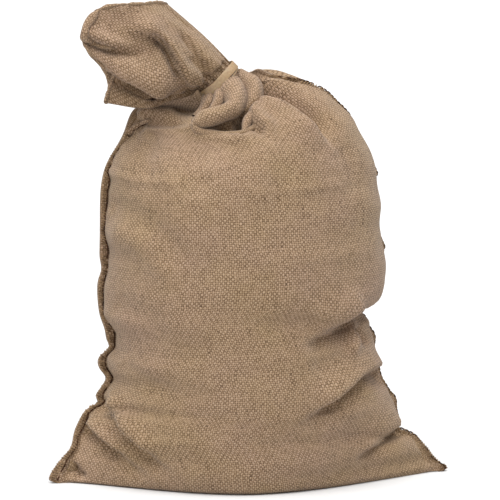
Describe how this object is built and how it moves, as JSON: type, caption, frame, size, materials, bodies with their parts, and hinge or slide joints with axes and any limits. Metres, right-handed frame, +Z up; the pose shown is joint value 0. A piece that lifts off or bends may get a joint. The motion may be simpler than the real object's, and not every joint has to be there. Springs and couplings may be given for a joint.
{
  "type": "burlap sack",
  "caption": "Filled hessian sack standing on its base, with sewn side seams, squeezed-out bottom corners and a gathered neck held by a rubber band under an open ruffled mouth.",
  "frame": {"origin": "on the floor under the middle of the sack's bounding box", "axes": "+Z up from the base to the mouth, +X to the right of someone facing the front, the front faces -Y"},
  "size_m": [0.4022, 0.206, 0.477],
  "materials": {
    "hessian": "coarse plain-woven natural jute, matt, with slubs and loose fibres",
    "rubber_band": "flat natural latex band, slightly glossy"
  },
  "bodies": {
    "root": {"sack": "hessian", "neck_band": "rubber_band"}
  },
  "joints": []
}
